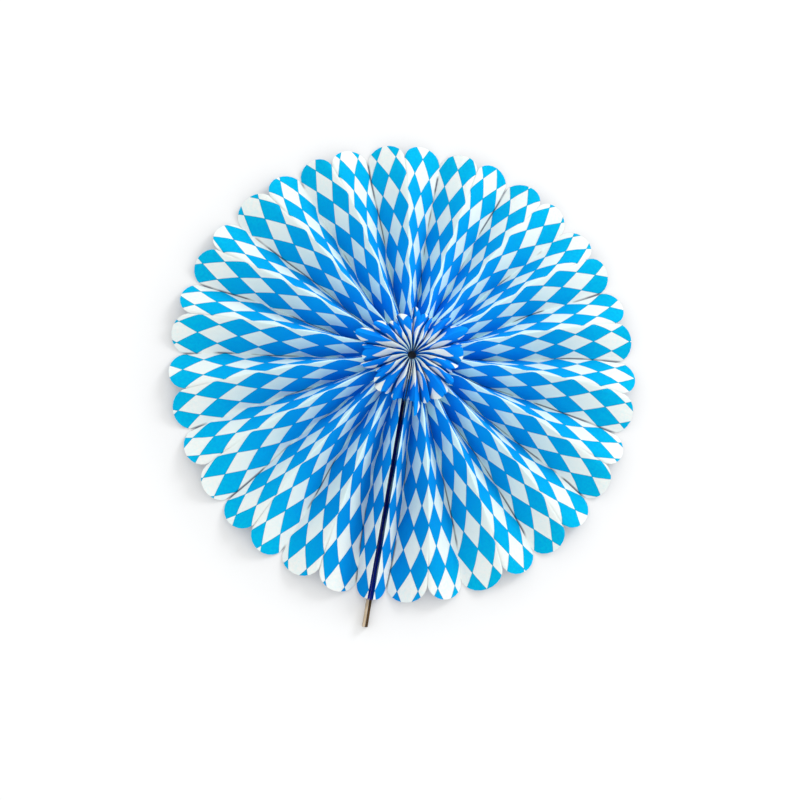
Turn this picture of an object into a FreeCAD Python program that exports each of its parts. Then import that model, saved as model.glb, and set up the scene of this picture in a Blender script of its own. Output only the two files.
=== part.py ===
import FreeCAD, Part
import math
import os

# A pleated paper rosette: one strip of tissue paper folded into equal panels, tied near
# its inner end and opened to a full circle. It lies on its back creases, front side up.
# The origin is at the centre of the circle, on the plane that it lies on. +Z is the
# front, and the seam where the two ends of the strip meet runs along -Y.

# the paper strip
full_panels = 36
rim_depth = 13.0
paper = 0.5
crease_flat = 0.5
notch_radius = 191.0
petal_rise = 16.0
rim_end_share = 0.31

# the gathered neck and the inner flower
curl_radius = 16.0
curl_inside = 3.0
neck_depth = 11.0
gather_radius = 72.0
flower_radius = 41.0
flower_drop = 6.5
flower_under_radius = 38.5
flower_under_drop = 3.6
flower_rise = 4.0

# the end bars at the seam and the sticky strip between them
bar_thickness = 2.0
bar_height = 7.0
bar_inner_radius = 30.0
bar_stub = 22.0
sticky_thickness = 0.3
sticky_margin = 1.0
neck_slit = 0.6

# the tie thread
thread_diameter = 1.4
thread_ease = 0.25
thread_sides = 6
knot_diameter = 3.0
knot_sides = 4

# how finely the creases are followed
blade_steps = 8
approach_steps = 2
curl_steps = 6
cap_steps = 3

bar_outer_radius = notch_radius + petal_rise + bar_stub
bar_slit = bar_thickness + sticky_thickness / 2
close_by = paper / 10
same_way = 1


def panel_chord(radius):
    """Level distance from crease to crease at a radius."""
    step = 2 * math.pi / (full_panels + 2 * rim_end_share)
    return 2 * radius * math.sin(step / 2)


panel_width = math.hypot(panel_chord(notch_radius), rim_depth)


def ridge_height(radius):
    """Height of a front crease over the back creases, for panels of one width."""
    return paper / 2 + math.sqrt(panel_width**2 - panel_chord(radius) ** 2)


curl_height = ridge_height(curl_radius) + curl_inside
curl_outside = curl_inside + neck_depth - paper


def valley_height(radius):
    """Height of a back crease, which rises to the gathered neck."""
    if radius >= gather_radius:
        return paper / 2
    way = (gather_radius - radius) / (gather_radius - curl_radius)
    smooth = way * way * (3 - 2 * way)
    return paper / 2 + smooth * (curl_height - curl_outside - paper / 2)


class Station:
    """One place along the strip: where the front and the back creases pass it."""

    def __init__(self, front, back, slit, end_share):
        self.front = front
        self.back = back
        self.slit = slit
        reach = (front[0] - back[0], front[1] - back[1])
        self.depth = math.hypot(*reach)
        self.toward_front = (reach[0] / self.depth, reach[1] / self.depth)
        self.end_share = end_share

    def shifted(self, base, distance):
        return (
            base[0] + self.toward_front[0] * distance,
            base[1] + self.toward_front[1] * distance,
        )

    def panel_step(self, radius):
        edge = math.asin((self.slit + paper / 2) / radius)
        return (2 * math.pi - 2 * edge) / (full_panels + 2 * self.end_share)

    def crease_angle(self, index, radius):
        """Angle of a crease from the seam, where index 0 is the first back crease."""
        edge = math.asin((self.slit + paper / 2) / radius)
        return edge + (self.end_share + index) * self.panel_step(radius)

    def fold_reach(self, share):
        """How far inside a fold its two inner faces meet."""
        middle = (self.front[0] + self.back[0]) / 2
        spread = share * self.panel_step(middle) * middle
        lean = spread / math.hypot(spread, self.depth)
        return paper / 2 / lean


def blade_stations():
    """The wide part of the strip, from the rim in to the ends of the bars."""
    stations = []
    ratio = bar_inner_radius / notch_radius
    for step in range(blade_steps + 1):
        radius = notch_radius * ratio ** (step / blade_steps)
        way = (radius - bar_inner_radius) / (notch_radius - bar_inner_radius)
        share = 1 + (rim_end_share - 1) * way
        front = (radius, ridge_height(radius))
        back = (radius, valley_height(radius))
        stations.append(Station(front, back, bar_slit, share))
    return stations


def tip_station():
    """Beside the seam the strip ends at the top of a petal's arch, not in a notch."""
    radius = notch_radius + petal_rise
    front = (radius, ridge_height(notch_radius))
    return Station(front, (radius, paper / 2), bar_slit, rim_end_share)


def curl_stations():
    """The gathered part, from the ends of the bars round the neck to the flower's tips."""
    stations = []
    for step in range(approach_steps):
        way = step / approach_steps
        radius = bar_inner_radius + (curl_radius - bar_inner_radius) * way
        slit = bar_slit + (neck_slit - bar_slit) * way
        front = (radius, ridge_height(radius))
        back = (radius, valley_height(radius))
        stations.append(Station(front, back, slit, 1))
    for step in range(curl_steps):
        turn = math.radians(270 - 180 * step / curl_steps)
        points = []
        for reach in (curl_inside, curl_outside):
            radius = curl_radius + reach * math.cos(turn)
            points.append((radius, curl_height + reach * math.sin(turn)))
        stations.append(Station(points[0], points[1], neck_slit, 1))
    for step in range(cap_steps + 1):
        way = step / cap_steps
        front = (
            curl_radius + (flower_under_radius - curl_radius) * way,
            curl_height + curl_inside - flower_under_drop * way**2,
        )
        back = (
            curl_radius + (flower_radius - curl_radius) * way,
            curl_height + curl_outside - flower_drop * way**2,
        )
        stations.append(Station(front, back, neck_slit, 1))
    return stations


def place(point, angle):
    radius, height = point
    return FreeCAD.Vector(radius * math.sin(angle), -radius * math.cos(angle), height)


def crease_points(station, index):
    """The four corners of the paper at one crease: front and back, each on both sides."""
    front_fold = index % 2 == 1
    base = station.front if front_fold else station.back
    outward = 1 if front_fold else -1
    outer = station.shifted(base, outward * paper / 2)
    inner = station.shifted(base, -outward * station.fold_reach(1))
    half_flat = crease_flat / 2 / outer[0]
    middle = station.crease_angle(index, outer[0])
    sides = [place(outer, middle - half_flat), place(outer, middle + half_flat)]
    fold = place(inner, station.crease_angle(index, inner[0]))
    return sides + [fold, fold] if front_fold else [fold, fold] + sides


def lip_points(station, side):
    """The paper where it turns down into the seam, beside the slit."""
    outer = station.shifted(station.front, paper / 2)
    share = station.end_share
    inner = station.shifted(station.front, paper / 2 - 2 * station.fold_reach(share))
    slit_side = place(outer, side * math.asin(station.slit / outer[0]))
    panel_side = place(outer, side * math.asin((station.slit + paper) / outer[0]))
    fold = place(inner, side * math.asin((station.slit + paper) / inner[0]))
    sides = [slit_side, panel_side] if side > 0 else [panel_side, slit_side]
    return sides + [fold, fold]


def flap_points(station, side):
    """The free long edge of the strip, at the foot of the flap glued to a bar."""
    foot = station.shifted(station.back, -paper / 2)
    slit_side = place(foot, side * math.asin(station.slit / foot[0]))
    panel_side = place(foot, side * math.asin((station.slit + paper) / foot[0]))
    return [slit_side, slit_side, panel_side, panel_side]


def sheet_lines(stations):
    """The corners of every crease and edge at every station, round from the seam."""
    seam_stations = [tip_station()] + stations[1:]
    lines = []
    lines.append([flap_points(s, 1) for s in seam_stations])
    lines.append([lip_points(s, 1) for s in seam_stations])
    for index in range(full_panels + 1):
        lines.append([crease_points(s, index) for s in stations])
    lines.append([lip_points(s, -1) for s in seam_stations])
    lines.append([flap_points(s, -1) for s in seam_stations])
    return lines


def facets(first, second):
    """Flat three-sided facets between two lines of points, as folded paper bends."""
    faces = []
    for here in range(len(first) - 1):
        there = here + 1
        for corners in (
            [first[here], second[here], second[there]],
            [first[here], second[there], first[there]],
        ):
            faces.append(Part.Face(Part.makePolygon(corners + corners[:1])))
    return faces


def sheet_faces(lines):
    """Front and back of every panel, and the narrow flat along every crease."""
    edges = []
    for line in lines:
        edges.append([[corners[i] for corners in line] for i in range(4)])
    faces = []
    for before, after in zip(edges, edges[1:]):
        faces += facets(before[1], after[0])
        faces += facets(before[3], after[2])
    for edge in edges[1:-1]:
        for side in (0, 2):
            if (edge[side][0] - edge[side + 1][0]).Length > close_by:
                faces += facets(edge[side], edge[side + 1])
    for edge in (edges[0], edges[-1]):
        faces += facets(edge[0], edge[2])
    return faces


def arch(start, end, start_next, end_next, rise):
    """The rounded end of a panel, seen on one side of the paper."""
    middle = (start + end) * 0.5
    outward = middle - (start_next + end_next) * 0.5
    outward.z = 0
    outward.normalize()
    return Part.Arc(start, middle + outward * rise, end).toShape()


def half_arch_rise(chord, rise):
    """How far one half of an arch stands off the line between its own ends."""
    radius = (chord**2 / 4 + rise**2) / (2 * rise)
    return radius * (1 - math.cos(math.acos(1 - rise / radius) / 2))


def end_faces(lines, tip, neighbour, rise, seam_rise):
    """Close the strip at one end, with a rounded end on every panel."""
    faces = []
    tips = [line[tip] for line in lines]
    nexts = [line[neighbour] for line in lines]
    last = len(lines) - 1
    for line in range(1, last - 1):
        arcs = []
        height = seam_rise if line in (1, last - 2) else rise
        for after, before in ((1, 0), (3, 2)):
            start = tips[line][after]
            end = tips[line + 1][before]
            curve = arch(start, end, nexts[line][after], nexts[line + 1][before], height)
            chord = Part.makeLine(end, start)
            faces.append(Part.Face(Part.Wire([curve, chord])))
            arcs.append(curve)
        faces.append(Part.makeRuledSurface(arcs[0], arcs[1], same_way))
    for line in range(1, last):
        corners = []
        for corner in tips[line]:
            if all((corner - other).Length > close_by for other in corners):
                corners.append(corner)
        faces.append(Part.Face(Part.makePolygon(corners + corners[:1])))
    for lip, foot, side in ((1, 0, 0), (last - 1, last, 1)):
        faces += facets([tips[lip][side], tips[lip][2]], [tips[foot][0], tips[foot][2]])
    return faces


def closed_solid(faces):
    """One solid inside the faces, with its outside outwards."""
    solid = Part.Solid(Part.Shell(faces))
    if solid.Volume < 0:
        solid.reverse()
    return solid


def pleated_paper():
    """The whole strip as one folded sheet."""
    stations = blade_stations() + curl_stations()[1:]
    lines = sheet_lines(stations)
    seam_rise = half_arch_rise(panel_width, petal_rise)
    faces = sheet_faces(lines)
    faces += end_faces(lines, 0, 1, petal_rise, seam_rise)
    faces += end_faces(lines, -1, -2, flower_rise, flower_rise)
    return closed_solid(faces)


def end_bar(side):
    """A strip of board on edge, glued to the flap at one end of the paper."""
    length = bar_outer_radius - bar_inner_radius
    left = sticky_thickness / 2 if side > 0 else -bar_slit
    corner = FreeCAD.Vector(left, -bar_outer_radius, 0)
    return Part.makeBox(bar_thickness, length, bar_height, corner)


def sticky_strip():
    """Double-sided sticky film that holds the two bars face to face."""
    length = bar_outer_radius - bar_inner_radius - 2 * sticky_margin
    corner = FreeCAD.Vector(-sticky_thickness / 2, sticky_margin - bar_outer_radius, sticky_margin)
    return Part.makeBox(sticky_thickness, length, bar_height - 2 * sticky_margin, corner)


def tie_thread():
    """A loop of thread round the waist between the pleats and the inner flower, knotted."""
    waist = curl_radius - curl_inside + paper / 2 + thread_ease
    spans = []
    for corner in range(thread_sides + 1):
        turn = 2 * math.pi * corner / thread_sides
        radius = waist + thread_diameter / 2 * (1 + math.cos(turn))
        height = curl_height + thread_diameter / 2 * math.sin(turn)
        corners = [2 * math.pi * fold / full_panels for fold in range(full_panels + 1)]
        spans.append([place((radius, height), angle) for angle in corners])
    faces = []
    for inner, outer in zip(spans, spans[1:]):
        faces += facets(inner, outer)
    middle = FreeCAD.Vector(waist + knot_diameter / 2, 0, curl_height)
    corners = []
    for corner in range(knot_sides):
        turn = math.pi * (2 * corner + 1) / (2 * knot_sides)
        reach = FreeCAD.Vector(math.sin(turn), 0, math.cos(turn)) * (knot_diameter / 2)
        corners.append(middle + reach)
    half_height = FreeCAD.Vector(0, 0, corners[0].z - middle.z)
    corners = [middle + half_height] + corners + [middle - half_height]
    profile = Part.Face(Part.makePolygon(corners + corners[:1]))
    knot = profile.revolve(middle, FreeCAD.Vector(0, 0, 1), 360)
    return closed_solid(faces).fuse(knot)


os.makedirs("parts", exist_ok=True)
pleated_paper().exportStep("parts/pleated_paper.step")
end_bar(-1).exportStep("parts/end_bar_left.step")
end_bar(1).exportStep("parts/end_bar_right.step")
sticky_strip().exportStep("parts/sticky_strip.step")
tie_thread().exportStep("parts/tie_thread.step")
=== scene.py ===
import bmesh
import bpy
import math
from mathutils import Matrix, Vector, noise


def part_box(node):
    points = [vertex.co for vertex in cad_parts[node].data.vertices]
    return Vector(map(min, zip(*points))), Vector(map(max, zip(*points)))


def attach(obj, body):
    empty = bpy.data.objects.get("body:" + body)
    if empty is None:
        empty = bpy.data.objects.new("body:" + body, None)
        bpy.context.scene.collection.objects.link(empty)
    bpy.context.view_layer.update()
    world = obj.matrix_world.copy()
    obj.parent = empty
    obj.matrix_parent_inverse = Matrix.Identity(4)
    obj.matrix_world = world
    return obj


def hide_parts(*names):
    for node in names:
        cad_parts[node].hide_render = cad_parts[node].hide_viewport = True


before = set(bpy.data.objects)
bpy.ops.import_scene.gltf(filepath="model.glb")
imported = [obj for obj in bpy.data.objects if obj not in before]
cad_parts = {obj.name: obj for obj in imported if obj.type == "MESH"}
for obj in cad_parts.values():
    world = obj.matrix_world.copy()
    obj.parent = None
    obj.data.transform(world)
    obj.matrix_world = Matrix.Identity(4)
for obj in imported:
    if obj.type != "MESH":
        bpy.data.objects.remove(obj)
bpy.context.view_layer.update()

# The ground is a plain white sheet that the rosette lies on. It is only a backdrop. To the
# camera it glows a little, so that it is white in the picture and still takes the shadow.
ground_size = 6.0
ground_white = (0.64, 0.645, 0.665, 1)
glow_white = (0.97, 0.985, 1, 1)
glow_strength = 0.22
glow_inner = 0.12
glow_outer = 0.26
ground = bmesh.new()
bmesh.ops.create_grid(ground, x_segments=1, y_segments=1, size=ground_size / 2)
ground_mesh = bpy.data.meshes.new("ground")
ground.to_mesh(ground_mesh)
ground.free()
ground_object = bpy.data.objects.new("ground", ground_mesh)
bpy.context.collection.objects.link(ground_object)


def start_material(name):
    """A new material, with its nodes, its links and its surface shader."""
    material = bpy.data.materials.new(name)
    material.use_nodes = True
    nodes = material.node_tree.nodes
    return material, nodes, material.node_tree.links, nodes["Principled BSDF"]


def math_node(nodes, links, operation, first, second=None):
    """One arithmetic node, fed by sockets or plain numbers."""
    node = nodes.new("ShaderNodeMath")
    node.operation = operation
    for socket, value in zip(node.inputs, (first, second)):
        if value is None:
            continue
        if isinstance(value, (int, float)):
            socket.default_value = value
        else:
            links.new(value, socket)
    return node.outputs["Value"]


def range_node(nodes, links, value, low, high):
    """0 at low and 1 at high, held in between."""
    node = nodes.new("ShaderNodeMapRange")
    node.inputs["From Min"].default_value = low
    node.inputs["From Max"].default_value = high
    links.new(value, node.inputs["Value"])
    return node.outputs["Result"]


def length_node(nodes, links, vector):
    """The length of a vector."""
    node = nodes.new("ShaderNodeVectorMath")
    node.operation = "LENGTH"
    links.new(vector, node.inputs[0])
    return node.outputs["Value"]


def colour_mix(nodes, links, factor, first, second):
    """A blend of two colours, each a socket or a plain colour."""
    node = nodes.new("ShaderNodeMix")
    node.data_type = "RGBA"
    links.new(factor, node.inputs["Factor"])
    for name, value in (("A", first), ("B", second)):
        if isinstance(value, tuple):
            node.inputs[name].default_value = value
        else:
            links.new(value, node.inputs[name])
    return node.outputs["Result"]


def shader_mix(nodes, links, factor, first, second):
    """A blend of two shaders, which goes to the surface."""
    mix = nodes.new("ShaderNodeMixShader")
    links.new(factor, mix.inputs["Fac"])
    links.new(first, mix.inputs[1])
    links.new(second, mix.inputs[2])
    links.new(mix.outputs["Shader"], nodes["Material Output"].inputs["Surface"])


def ground_material():
    material, nodes, links, shader = start_material("white_ground")
    shader.inputs["Base Color"].default_value = ground_white
    shader.inputs["Roughness"].default_value = 0.9
    shader.inputs["Specular IOR Level"].default_value = 0.1
    place = nodes.new("ShaderNodeTexCoord").outputs["Object"]
    away = length_node(nodes, links, place)
    open_ground = range_node(nodes, links, away, glow_inner, glow_outer)
    glow = nodes.new("ShaderNodeEmission")
    glow.inputs["Color"].default_value = glow_white
    strength = math_node(nodes, links, "MULTIPLY", open_ground, glow_strength)
    links.new(strength, glow.inputs["Strength"])
    both = nodes.new("ShaderNodeAddShader")
    links.new(shader.outputs["BSDF"], both.inputs[0])
    links.new(glow.outputs["Emission"], both.inputs[1])
    path = nodes.new("ShaderNodeLightPath").outputs
    seen = math_node(nodes, links, "MAXIMUM", path["Is Camera Ray"], path["Is Glossy Ray"])
    shader_mix(nodes, links, seen, shader.outputs["BSDF"], both.outputs["Shader"])
    return material


ground_mesh.materials.append(ground_material())

# The rosette's paper is printed tissue in equal panels, each a petal with its own rounded end,
# folded to and fro and opened to a circle. A thread gathers it at the neck, and past the neck
# the short ends curl over the front as an inner flower.
full_panels = 36
rim_depth = 0.013
paper_base = 0.00025
tissue_thickness = 0.00018
notch_radius = 0.191
petal_rise = 0.0153
arch_reach = 0.070
rim_end_share = 0.31
curl_radius = 0.016
curl_inside = 0.003
curl_outside = 0.0125
gather_radius = 0.072
flower_radius = 0.041
flower_drop = 0.0105
flower_under_radius = 0.0370
flower_under_drop = 0.0080
flower_rise = 0.004
bar_inner_radius = 0.030
bar_slit = 0.00215
neck_slit = 0.0006
seam_lines = 2
fold_radius = 0.05
panel_columns = 12
blade_rows = 50
curl_rows = 20
cap_rows = 13
all_rows = blade_rows + curl_rows + cap_rows
row_crowding = 0.8
rim_step = 2 * math.pi / (full_panels + 2 * rim_end_share)
panel_width = math.hypot(2 * notch_radius * math.sin(rim_step / 2), rim_depth)


def blend(low, high, way):
    return low + (high - low) * way


def hold(way):
    """A value kept between 0 and 1."""
    return min(max(way, 0), 1)


def ease(way):
    way = hold(way)
    return way * way * (3 - 2 * way)


def ridge_height(radius):
    """Height of a front crease over the ground, for panels of one width."""
    chord = 2 * radius * math.sin(rim_step / 2)
    return paper_base + math.sqrt(panel_width**2 - chord**2)


curl_height = ridge_height(curl_radius) + curl_inside


def valley_height(radius):
    """Height of a back crease, which rises to the gathered neck."""
    way = ease((gather_radius - radius) / (gather_radius - curl_radius))
    return blend(paper_base, curl_height - curl_outside, way)


def cap_way(row):
    """0 where the flower leaves the curl and 1 at its end."""
    return (row - blade_rows - curl_rows) / cap_rows


def crease_places(row):
    """Radius and height of the front and the back creases at a row, how wide the seam is there,
    and the share of a panel that its two end panels take."""
    if row <= blade_rows:
        way = row / blade_rows
        radius = notch_radius * (curl_radius / notch_radius) ** (way**row_crowding)
        front = (radius, ridge_height(radius))
        back = (radius, valley_height(radius))
        near = hold((bar_inner_radius - radius) / (bar_inner_radius - curl_radius))
        rim_way = hold((radius - bar_inner_radius) / (notch_radius - bar_inner_radius))
        return front, back, blend(bar_slit, neck_slit, near), blend(1, rim_end_share, rim_way)
    if row <= blade_rows + curl_rows:
        turn = math.radians(270 - 180 * (row - blade_rows) / curl_rows)
        front, back = [
            (curl_radius + reach * math.cos(turn), curl_height + reach * math.sin(turn))
            for reach in (curl_inside, curl_outside)
        ]
        return front, back, neck_slit, 1
    way = cap_way(row)
    front = (
        blend(curl_radius, flower_under_radius, way),
        curl_height + curl_inside - flower_under_drop * way**2,
    )
    back = (
        blend(curl_radius, flower_radius, way),
        curl_height + curl_outside - flower_drop * way**2,
    )
    return front, back, neck_slit, 1


places = [crease_places(row) for row in range(all_rows + 1)]


def crease_lengths(which):
    """How far along the front or the back crease each row lies."""
    lengths = [0.0]
    for last, here in zip(places, places[1:]):
        lengths.append(lengths[-1] + math.dist(last[which], here[which]))
    return lengths


front_lengths = crease_lengths(0)
back_lengths = crease_lengths(1)


def wander(first, second, third):
    """Smooth noise between -1 and 1."""
    return noise.noise(Vector((first, second, third)))


def between_creases(crease, share, pace, *seed):
    """Noise with one value for each crease, blended across the panel between two of them."""
    here, after = [wander(index * pace, *seed) for index in (crease, crease + 1)]
    return blend(here, after, share)


calm_radius = 0.02
stray_fade = 0.05
blade_stray = 0.13
flower_stray = 1.5


def crease_shift(index, row):
    """How far a crease strays round the circle, as a share of the step between creases."""
    radius = places[row][0][0]
    if row <= blade_rows:
        steady = ease((radius - calm_radius) / stray_fade)
        return blade_stray * steady * wander(index * 5.3, radius * 16, 1.7)
    if row <= blade_rows + curl_rows:
        return 0
    way = cap_way(row)
    return flower_stray * way * wander(index * 3.7, 4.1, way * 0.6)


def fold_depth(across):
    """0 at a back crease and 1 at a front crease, with softly rounded folds."""
    way = across % 2
    way = way if way <= 1 else 2 - way
    if way < fold_radius:
        return (way * way / fold_radius + fold_radius) / 2
    if way > 1 - fold_radius:
        return 1 - ((1 - way) ** 2 / fold_radius + fold_radius) / 2
    return way


def fold_angle(across, radius, row):
    """Angle round the rosette from the seam, for a place across the strip."""
    slit, end_share = places[row][2:]
    edge = math.asin((slit + paper_base) / radius)
    step = (2 * math.pi - 2 * edge) / (full_panels + 2 * end_share)
    if across < -1:
        return edge
    if across > full_panels + 1:
        return 2 * math.pi - edge
    if across < 0:
        return edge + (across + 1) * end_share * step
    if across > full_panels:
        return 2 * math.pi - edge - (full_panels + 1 - across) * end_share * step
    crease = math.floor(across)
    shift = blend(crease_shift(crease, row), crease_shift(crease + 1, row), across - crease)
    shift *= ease(across / 2) * ease((full_panels - across) / 2)
    return edge + (end_share + across + shift) * step


def petal_end(across):
    """1 at the top of a petal's round end and 0 in its notches. Half petals meet at the seam."""
    if across < -1 or across > full_panels + 1:
        return 1
    if across < 0:
        way = 1 + across
    elif across > full_panels:
        way = full_panels + 1 - across
    else:
        way = 2 * (across % 1) - 1
    return math.sqrt(max(1 - way * way, 0))


bow_fade = 0.08
panel_bow = 0.0011
flower_spread = 0.020
flower_seam_side = 0.003
flower_trim = 0.001
flower_lift = 0.006
flower_lift_limit = 0.15


def folded_point(across, row):
    """The place of one point of the strip once it is folded, and the arch it adds at its end."""
    front, back = places[row][:2]
    depth = fold_depth(across)
    radius = blend(back[0], front[0], depth)
    height = blend(back[1], front[1], depth)
    angle = fold_angle(across, radius, row)
    crease = math.floor(across)
    share = across % 1
    if row <= blade_rows:
        arch = ease(1 - front_lengths[row] / arch_reach) * petal_rise * petal_end(across)
        bow = 4 * share * (1 - share) * ease((radius - calm_radius) / bow_fade)
        height += panel_bow * bow * wander(crease * 2.9, radius * 30, 3.3)
        return radius + arch, height, angle, arch
    if row <= blade_rows + curl_rows or not 0 <= across <= full_panels:
        return radius, height, angle, 0
    way = cap_way(row)
    arch = way**2 * flower_rise * petal_end(across)
    spread = between_creases(crease, share, 2.3, 6.6, 1.1)
    lift = between_creases(crease, share, 4.9, 0.7, 2.2)
    radius += way * (flower_spread * spread + flower_seam_side * math.cos(angle) - flower_trim)
    height += flower_lift * way * min(lift, flower_lift_limit)
    return radius + arch, height, angle, arch


lozenge_length = 0.036
print_start = 0.707
print_creep = 0.1222
print_creep_growth = 0.0019
print_side = 0.053
print_side_change = 0.0114


def print_shift(panel):
    """How far the print has slid along each panel, in lozenges. It creeps from panel to panel."""
    if panel < 0 or panel > full_panels:
        panel = full_panels
    creep = print_start + print_creep * panel + print_creep_growth * panel**2
    side = print_side - print_side_change * panel
    return creep + side if panel % 2 == 0 else creep - side


flower_turn_share = 0.4
flower_print_edge = 0.014
flower_print_edge_stray = 0.012
flower_print_edge_blend = 0.016
flower_print_middle = 0.014
flower_print_share = 1.35
flower_print_stretch = 0.88
flower_print_stray = 0.009


def flower_print_place(back_crease, side, from_back, wall, row, arch):
    """Where a point of the flower lies on the print, which is centred on each of its folds."""
    lean = wander(back_crease * 7.1, 2.3, 0.9)
    past_edge = places[row][1][0] - flower_print_edge - flower_print_edge_stray * lean
    stray = ease(past_edge / flower_print_edge_blend)
    offset = (1 if lean > 0 else -1) * stray * panel_width / 4
    to_end = back_lengths[-1] - back_lengths[row]
    length = flower_radius - flower_print_middle - to_end + arch
    jitter = flower_print_stray * wander(back_crease * 3.1, 8.8, 5.2)
    width = offset + side * from_back * wall * flower_print_share
    return width, length * flower_print_stretch + jitter


def print_place(across, panel, row, arch):
    """Where a point of a panel lies on the printed sheet, as width and length in metres."""
    front, back = places[row][:2]
    back_crease = panel if panel % 2 == 0 else panel + 1
    from_back = abs(across - back_crease)
    reach = (front[0] + back[0]) / 2 * rim_step
    if panel in (-1, full_panels):
        reach *= places[row][3]
    if panel < -1 or panel > full_panels:
        reach = 0
    wall = math.hypot(math.dist(front, back), reach)
    width = (1 - from_back) * wall
    length = front_lengths[row] - arch + petal_rise + (0.5 - print_shift(panel)) * lozenge_length
    turned = ease((row - blade_rows) / (flower_turn_share * curl_rows))
    if turned > 0:
        side = 1 if panel == back_crease else -1
        there = flower_print_place(back_crease, side, from_back, wall, row, arch)
        width = blend(width, there[0], turned)
        length = blend(length, there[1], turned)
    return width, length


def fold_strip():
    """Fold the flat grid of the strip, one vertex at a time, and lay the print on it."""
    panels = full_panels + 2 * seam_lines
    strip = bmesh.new()
    print_map = strip.loops.layers.uv.new("print")
    fold_map = strip.loops.layers.uv.new("fold")
    bmesh.ops.create_grid(strip, x_segments=panels * panel_columns, y_segments=all_rows, size=0.5)
    flat = {}
    for vertex in strip.verts:
        column = round((vertex.co.x + 0.5) * panels * panel_columns)
        row = round((vertex.co.y + 0.5) * all_rows)
        whole, part = divmod(column, panel_columns)
        across = whole - seam_lines + (1 - math.cos(math.pi * part / panel_columns)) / 2
        radius, height, angle, arch = folded_point(across, row)
        vertex.co = (radius * math.sin(angle), -radius * math.cos(angle), height)
        flat[vertex] = (across, row, arch)
    for face in strip.faces:
        corners = [flat[loop.vert] for loop in face.loops]
        panel = math.floor(sum(corner[0] for corner in corners) / len(corners))
        for loop, (across, row, arch) in zip(face.loops, corners):
            loop[print_map].uv = print_place(across, panel, row, arch)
            loop[fold_map].uv = (abs((across + 1) % 2 - 1), row / all_rows)
    bmesh.ops.recalc_face_normals(strip, faces=strip.faces)
    mesh = bpy.data.meshes.new("pleated_tissue")
    strip.to_mesh(mesh)
    strip.free()
    for polygon in mesh.polygons:
        polygon.use_smooth = True
    return mesh


tissue = bpy.data.objects.new("pleated_tissue", fold_strip())
bpy.context.collection.objects.link(tissue)
thicken = tissue.modifiers.new("thickness", "SOLIDIFY")
thicken.thickness = tissue_thickness
thicken.offset = 0
even = tissue.modifiers.new("even_normals", "WEIGHTED_NORMAL")
even.weight = 100
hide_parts("pleated_paper")
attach(tissue, "root")


def start_group(name, inputs, outputs):
    """A node group with named sockets, given as name and kind, and its two ends."""
    group = bpy.data.node_groups.new(name, "ShaderNodeTree")
    for socket, kind in inputs:
        group.interface.new_socket(name=socket, in_out="INPUT", socket_type=kind)
    for socket, kind in outputs:
        group.interface.new_socket(name=socket, in_out="OUTPUT", socket_type=kind)
    enter = group.nodes.new("NodeGroupInput").outputs
    leave = group.nodes.new("NodeGroupOutput").inputs
    return group, group.nodes, group.links, enter, leave


def use_group(nodes, group):
    node = nodes.new("ShaderNodeGroup")
    node.node_tree = group
    return node


def noise_node(nodes, links, vector, scale, detail=2.0, stretch=None):
    """Noise at a scale, if need be stretched along the axes."""
    if stretch is not None:
        mapping = nodes.new("ShaderNodeMapping")
        mapping.inputs["Scale"].default_value = stretch
        links.new(vector, mapping.inputs["Vector"])
        vector = mapping.outputs["Vector"]
    node = nodes.new("ShaderNodeTexNoise")
    node.inputs["Scale"].default_value = scale
    node.inputs["Detail"].default_value = detail
    links.new(vector, node.inputs["Vector"])
    return node.outputs["Fac"]


def uv_node(nodes, name):
    node = nodes.new("ShaderNodeUVMap")
    node.uv_map = name
    return node.outputs["UV"]


def parts_node(nodes, links, vector):
    """The X, Y and Z of a vector."""
    node = nodes.new("ShaderNodeSeparateXYZ")
    links.new(vector, node.inputs["Vector"])
    return node.outputs


def bump_node(nodes, links, height, strength, distance):
    node = nodes.new("ShaderNodeBump")
    node.inputs["Strength"].default_value = strength
    node.inputs["Distance"].default_value = distance
    links.new(height, node.inputs["Height"])
    return node.outputs["Normal"]


ink_limits = (1.045, 1.01)
ink_rim_limits = (0.93, 1.02)
ink_rim_strength = 0.6


def lozenge_group():
    """1 on the printed lozenges and 0 on the bare paper, and the darker rim of the ink."""
    group, nodes, links, enter, leave = start_group(
        "lozenges",
        [("Print Place", "NodeSocketVector"), ("Swell", "NodeSocketFloat")],
        [("Mask", "NodeSocketFloat"), ("Edge", "NodeSocketFloat")],
    )
    parts = parts_node(nodes, links, enter["Print Place"])
    sides = []
    for axis, size in (("X", panel_width / 2), ("Y", lozenge_length)):
        count = math_node(nodes, links, "DIVIDE", parts[axis], size)
        cell = math_node(nodes, links, "FRACT", count)
        off = math_node(nodes, links, "SUBTRACT", cell, 0.5)
        side = math_node(nodes, links, "ABSOLUTE", off)
        sides.append(math_node(nodes, links, "MULTIPLY", side, 2))
    reach = math_node(nodes, links, "ADD", sides[0], sides[1])
    reach = math_node(nodes, links, "SUBTRACT", reach, enter["Swell"])
    edge = range_node(nodes, links, reach, *ink_rim_limits)
    links.new(range_node(nodes, links, reach, *ink_limits), leave["Mask"])
    links.new(math_node(nodes, links, "MULTIPLY", edge, ink_rim_strength), leave["Edge"])
    return group


fibre_scale = 1500
cloud_scale = 420
crease_scale = 40
crease_stretch = (6.0, 1.0, 1.0)
fibre_height = 0.25
cloud_height = 0.35
crease_height = 2.2


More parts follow.
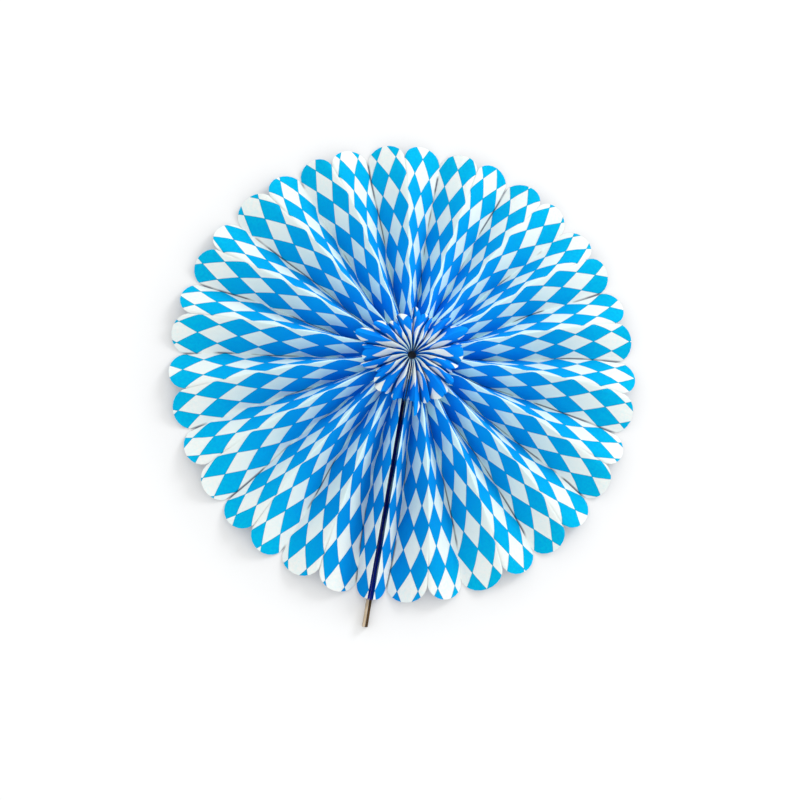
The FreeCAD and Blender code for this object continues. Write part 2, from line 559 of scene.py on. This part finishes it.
def tissue_grain_group():
    """The tissue's fibre clouds, and the height of its fibres, clouds and small creases."""
    group, nodes, links, enter, leave = start_group(
        "tissue_grain",
        [("Place", "NodeSocketVector"), ("Print Place", "NodeSocketVector")],
        [("Clouds", "NodeSocketFloat"), ("Height", "NodeSocketFloat")],
    )
    clouds = noise_node(nodes, links, enter["Place"], cloud_scale, 4.0)
    fibres = noise_node(nodes, links, enter["Place"], fibre_scale, 3.0)
    creases = noise_node(nodes, links, enter["Print Place"], crease_scale, 3.0, crease_stretch)
    small = math_node(nodes, links, "MULTIPLY", fibres, fibre_height)
    middle = math_node(nodes, links, "MULTIPLY", clouds, cloud_height)
    large = math_node(nodes, links, "MULTIPLY", creases, crease_height)
    height = math_node(nodes, links, "ADD", math_node(nodes, links, "ADD", small, middle), large)
    links.new(clouds, leave["Clouds"])
    links.new(height, leave["Height"])
    return group


blue = (0.0, 0.55, 0.85, 1)
cloud_blue = (0.0, 0.47, 0.83, 1)
# Painted shade: the next two blues stand for the shade and the blue bounced light deep in the
# pleats, laid on the ink towards the middle and the hub.
painted_shade_middle_blue = (0.0, 0.35, 0.90, 1)
painted_shade_hub_blue = (0.0, 0.21, 0.80, 1)
# Painted shade on the panels beside the lower seam, which face away from the light.
painted_seam_shade_blue = (0.0, 0.26, 0.80, 1)
edge_blue = (0.0, 0.24, 0.36, 1)
middle_radii = (0.200, 0.105)
hub_radii = (0.095, 0.035)
seam_sides = (0.085, 0.020)
seam_half = (-0.03, -0.11)
seam_strength = 0.85


def tissue_ink(nodes, links, place, radius, cloudy, edge):
    """The ink's blue with its darker rim, deepened by painted shade towards the middle and by the
    seam.
    """
    halfway = range_node(nodes, links, radius, *middle_radii)
    near_hub = range_node(nodes, links, radius, *hub_radii)
    ink = colour_mix(nodes, links, cloudy, blue, cloud_blue)
    # Painted shade, deeper towards the middle and then the hub.
    ink = colour_mix(nodes, links, halfway, ink, painted_shade_middle_blue)
    ink = colour_mix(nodes, links, near_hub, ink, painted_shade_hub_blue)
    # Painted shade: the ink is darkened beside the lower part of the seam.
    spot = parts_node(nodes, links, place)
    aside = math_node(nodes, links, "ABSOLUTE", spot["X"])
    beside = range_node(nodes, links, aside, *seam_sides)
    below = range_node(nodes, links, spot["Y"], *seam_half)
    painted_seam_shade = math_node(nodes, links, "MULTIPLY", beside, below)
    painted_seam_shade = math_node(nodes, links, "MULTIPLY", painted_seam_shade, seam_strength)
    ink = colour_mix(nodes, links, painted_seam_shade, ink, painted_seam_shade_blue)
    return colour_mix(nodes, links, edge, ink, edge_blue)


white = (0.93, 0.94, 0.93, 1)
# Painted shade and bounced blue light: the white turns this cyan towards the middle. The fibre
# clouds are tinted towards it too.
cloud_and_painted_shade_white = (0.63, 0.91, 0.96, 1)
# Painted shade: the inner flower's white is greyer than the same paper elsewhere.
painted_shade_flower_white = (0.76, 0.82, 0.82, 1)
painted_shade_radii = (0.200, 0.060)
cloud_shade = 0.3


def bare_tissue(nodes, links, radius, cloudy, on_flower):
    """The unprinted paper's white, with a cloudy tint, painted shade and bounced blue light that
    turn it bluer towards the middle, and painted shade that greys it in the flower.
    """
    # Painted shade, growing towards the middle.
    inward_shade = range_node(nodes, links, radius, *painted_shade_radii)
    clouds = math_node(nodes, links, "MULTIPLY", cloudy, cloud_shade)
    cloud_and_shade = math_node(nodes, links, "MAXIMUM", clouds, inward_shade)
    bare = colour_mix(nodes, links, cloud_and_shade, white, cloud_and_painted_shade_white)
    # Painted shade greys the white on the flower.
    return colour_mix(nodes, links, on_flower, bare, painted_shade_flower_white)


# Painted shadow: dark lines along parts of the back creases, where one panel shades the next.
valley_shadow_blue = (0.0, 0.02, 0.09, 1)
flower_shade = (0.0, 0.03, 0.20, 1)
valley_limits = (0.045, 0.0)
patch_scale = 22
patch_limits = (0.46, 0.54)
blade_limits = (0.72, 0.70)
flower_depth_limits = (0.70, 1.0)
flower_depth_strength = 0.9


def dark_folds(nodes, links, place, fold, on_flower, colour):
    """The colour with painted shadow lines in parts of the back creases, and painted shade deep in
    the flower.
    """
    valley = range_node(nodes, links, fold["X"], *valley_limits)
    patches = noise_node(nodes, links, place, patch_scale)
    patches = range_node(nodes, links, patches, *patch_limits)
    line = math_node(nodes, links, "MULTIPLY", valley, patches)
    on_blade = range_node(nodes, links, fold["Y"], *blade_limits)
    line = math_node(nodes, links, "MULTIPLY", line, on_blade)
    colour = colour_mix(nodes, links, line, colour, valley_shadow_blue)
    depth = range_node(nodes, links, fold["X"], *flower_depth_limits)
    depth = math_node(nodes, links, "MULTIPLY", depth, on_flower)
    depth = math_node(nodes, links, "MULTIPLY", depth, flower_depth_strength)
    return colour_mix(nodes, links, depth, colour, flower_shade)


print_swell = 0.12
swell_radii = (0.190, 0.050)
cloud_limits = (0.35, 0.65)
flower_limits = (0.76, 0.82)
through_share = 0.25
through_radii = (0.060, 0.120)


def tissue_material():
    """Thin printed paper, which lets some light through where it lies single."""
    material, nodes, links, shader = start_material("printed_tissue_paper")
    place = nodes.new("ShaderNodeTexCoord").outputs["Object"]
    print_uv = uv_node(nodes, "print")
    fold = parts_node(nodes, links, uv_node(nodes, "fold"))
    level = nodes.new("ShaderNodeVectorMath")
    level.operation = "MULTIPLY"
    level.inputs[1].default_value = (1, 1, 0)
    links.new(place, level.inputs[0])
    radius = length_node(nodes, links, level.outputs["Vector"])
    lozenges = use_group(nodes, lozenge_group())
    links.new(print_uv, lozenges.inputs["Print Place"])
    swell = range_node(nodes, links, radius, *swell_radii)
    links.new(math_node(nodes, links, "MULTIPLY", swell, print_swell), lozenges.inputs["Swell"])
    grain = use_group(nodes, tissue_grain_group())
    links.new(place, grain.inputs["Place"])
    links.new(print_uv, grain.inputs["Print Place"])
    cloudy = range_node(nodes, links, grain.outputs["Clouds"], *cloud_limits)
    on_flower = range_node(nodes, links, fold["Y"], *flower_limits)
    ink = tissue_ink(nodes, links, place, radius, cloudy, lozenges.outputs["Edge"])
    bare = bare_tissue(nodes, links, radius, cloudy, on_flower)
    colour = colour_mix(nodes, links, lozenges.outputs["Mask"], bare, ink)
    colour = dark_folds(nodes, links, place, fold, on_flower, colour)
    normal = bump_node(nodes, links, grain.outputs["Height"], 0.35, 0.0006)
    links.new(colour, shader.inputs["Base Color"])
    links.new(normal, shader.inputs["Normal"])
    shader.inputs["Roughness"].default_value = 0.9
    shader.inputs["Specular IOR Level"].default_value = 0.05
    through = nodes.new("ShaderNodeBsdfTranslucent")
    links.new(colour, through.inputs["Color"])
    links.new(normal, through.inputs["Normal"])
    single = range_node(nodes, links, radius, *through_radii)
    share = math_node(nodes, links, "MULTIPLY", single, through_share)
    shader_mix(nodes, links, share, shader.outputs["BSDF"], through.outputs["BSDF"])
    return material


tissue.data.materials.append(tissue_material())

# The two end bars are strips of grey board cut with a knife. They stand on edge, face to face,
# with the ends of the tissue glued over them as far as the rim, and stick out bare past it.
bar_pieces = 60
bar_bevel = 0.00025
sharp_corner = 1
bar_wave_pace = 24
bar_wave_seed = 900
rim_cover = 0.205
cover_blend = 0.002
cover_ragged = 0.004
# Painted shade: the tissue over the bars inside the rim is painted dark navy, the shade deep in
# the slot between the end panels.
tissue_cover_shade_blue = (0.0, 0.02, 0.32, 1)


def board_bar(node, name, bow):
    """One board strip as long and high as its CAD bar, with softened, slightly wavy edges."""
    low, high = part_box(node)
    size = [high[axis] - low[axis] for axis in range(3)]
    middle = Vector([(high[axis] + low[axis]) / 2 for axis in range(3)])
    shape = Matrix.Diagonal((size[0], size[1], size[2], 1))
    strip = bmesh.new()
    bmesh.ops.create_cube(strip, size=1, matrix=Matrix.Translation(middle) @ shape)
    long_edges = [e for e in strip.edges if abs(e.verts[0].co.y - e.verts[1].co.y) > size[1] / 2]
    bmesh.ops.subdivide_edges(strip, edges=long_edges, cuts=bar_pieces, use_grid_fill=True)
    corners = [
        e for e in strip.edges if len(e.link_faces) == 2 and e.calc_face_angle() > sharp_corner
    ]
    bmesh.ops.bevel(
        strip, geom=corners, offset=bar_bevel, segments=2, profile=0.5, affect="EDGES", material=-1
    )
    for vertex in strip.verts:
        if vertex.co.z > middle.z:
            wave = wander(vertex.co.y * bar_wave_pace, 1.3, bow * bar_wave_seed)
            vertex.co.z -= bow * (0.5 + 0.5 * wave)
    mesh = bpy.data.meshes.new(name)
    strip.to_mesh(mesh)
    strip.free()
    piece = bpy.data.objects.new(name, mesh)
    bpy.context.collection.objects.link(piece)
    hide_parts(node)
    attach(piece, "root")
    return piece


def board_material(name, pale, dark):
    """Grey board with long fibres, and tissue glued over it inside the rim, painted dark navy as
    the shade deep in the slot.
    """
    material, nodes, links, shader = start_material(name)
    place = nodes.new("ShaderNodeTexCoord").outputs["Object"]
    fibres = noise_node(nodes, links, place, 900, 4.0, (1.0, 0.12, 1.0))
    tone = range_node(nodes, links, fibres, 0.35, 0.65)
    board = colour_mix(nodes, links, tone, dark, pale)
    specks = range_node(nodes, links, noise_node(nodes, links, place, 2600), 0.62, 0.75)
    specks = math_node(nodes, links, "MULTIPLY", specks, 0.5)
    board = colour_mix(nodes, links, specks, board, dark)
    ragged = noise_node(nodes, links, place, 300)
    ragged = math_node(nodes, links, "MULTIPLY", ragged, cover_ragged)
    edge = math_node(nodes, links, "ADD", parts_node(nodes, links, place)["Y"], ragged)
    covered = range_node(nodes, links, edge, -rim_cover, -rim_cover + cover_blend)
    # Painted shade: dark navy where the tissue covers the board.
    colour = colour_mix(nodes, links, covered, board, tissue_cover_shade_blue)
    links.new(colour, shader.inputs["Base Color"])
    links.new(bump_node(nodes, links, fibres, 0.5, 0.0003), shader.inputs["Normal"])
    shader.inputs["Roughness"].default_value = 0.85
    shader.inputs["Specular IOR Level"].default_value = 0.2
    return material


left_bar = board_bar("end_bar_left", "left_board_bar", 0.0004)
left_bar.data.materials.append(
    board_material("pale_board", (0.56, 0.46, 0.34, 1), (0.36, 0.28, 0.19, 1))
)
# Painted shade: the right bar is the same board as the left, painted dark brown as if in shade.
right_bar = board_bar("end_bar_right", "right_board_bar", 0.0008)
right_bar.data.materials.append(
    board_material("painted_shade_board", (0.085, 0.045, 0.016, 1), (0.035, 0.018, 0.006, 1))
)

# The sticky strip between the bars is double-sided film, grey and milky. It keeps its CAD
# shape, because only its thin edges show.
film_dark = (0.10, 0.11, 0.16, 1)
film_pale = (0.28, 0.29, 0.34, 1)


def film_material():
    material, nodes, links, shader = start_material("sticky_film")
    place = nodes.new("ShaderNodeTexCoord").outputs["Object"]
    streaks = noise_node(nodes, links, place, 500, 3.0, (1.0, 0.2, 1.0))
    colour = colour_mix(nodes, links, streaks, film_dark, film_pale)
    links.new(colour, shader.inputs["Base Color"])
    shader.inputs["Roughness"].default_value = 0.35
    return material


film = bpy.data.objects["sticky_strip"]
film.data.materials.clear()
film.data.materials.append(film_material())

# The tie thread is white twisted yarn, pulled tight round the neck and knotted. It keeps its
# CAD shape, and its twist is in the surface.
yarn_dark = (0.62, 0.62, 0.60, 1)
yarn_pale = (0.86, 0.86, 0.84, 1)
yarn_twist = 420


def thread_material():
    material, nodes, links, shader = start_material("twisted_thread")
    place = nodes.new("ShaderNodeTexCoord").outputs["Object"]
    twist = nodes.new("ShaderNodeTexWave")
    twist.bands_direction = "DIAGONAL"
    twist.inputs["Scale"].default_value = yarn_twist
    twist.inputs["Distortion"].default_value = 1.5
    links.new(place, twist.inputs["Vector"])
    colour = colour_mix(nodes, links, twist.outputs["Fac"], yarn_dark, yarn_pale)
    links.new(colour, shader.inputs["Base Color"])
    links.new(bump_node(nodes, links, twist.outputs["Fac"], 0.6, 0.0003), shader.inputs["Normal"])
    shader.inputs["Roughness"].default_value = 0.8
    return material


thread = bpy.data.objects["tie_thread"]
thread.data.materials.clear()
thread.data.materials.append(thread_material())

# The light is a pale sky all round, with one broad lamp low to the upper right of the picture.
# The lamp gives the faint shadow at the lower left.
sky_colour = (1, 1, 0.97, 1)
sky_strength = 1.11
lamp_power = 24
lamp_width = 0.9
lamp_place = (1.35, 1.55, 1.20)
world = bpy.data.worlds.new("studio")
bpy.context.scene.world = world
world.use_nodes = True
sky = world.node_tree.nodes["Background"]
sky.inputs["Color"].default_value = sky_colour
sky.inputs["Strength"].default_value = sky_strength
lamp_data = bpy.data.lights.new("key_lamp", "AREA")
lamp_data.shape = "DISK"
lamp_data.size = lamp_width
lamp_data.energy = lamp_power
lamp = bpy.data.objects.new("key_lamp", lamp_data)
bpy.context.collection.objects.link(lamp)
lamp.location = lamp_place
lamp.rotation_euler = (-Vector(lamp_place)).to_track_quat("-Z", "Y").to_euler()

# The camera looks down on the rosette, a little from the seam's side, and is turned so that
# the seam runs down to the left. Its place and lens are fitted to the photograph.
picture_turn = math.radians(9)
camera_foot = math.radians(251.2)
camera_tilt = math.radians(13.8)
camera_distance = 0.928
camera_target = Vector((-0.0025, -0.0362, 0.020))
lens_length = 48.56
sensor_width = 36
camera_data = bpy.data.cameras.new("camera")
camera_data.sensor_width = sensor_width
camera_data.lens = lens_length
camera = bpy.data.objects.new("camera", camera_data)
bpy.context.collection.objects.link(camera)
toward = Vector((
    math.sin(camera_tilt) * math.cos(camera_foot),
    math.sin(camera_tilt) * math.sin(camera_foot),
    math.cos(camera_tilt),
))
up = Vector((-math.sin(picture_turn), math.cos(picture_turn), 0))
right = up.cross(toward).normalized()
turned = Matrix((right, toward.cross(right), toward)).transposed().to_4x4()
camera.matrix_world = Matrix.Translation(camera_target + toward * camera_distance) @ turned
bpy.context.scene.camera = camera
bpy.context.scene.view_settings.view_transform = "Standard"
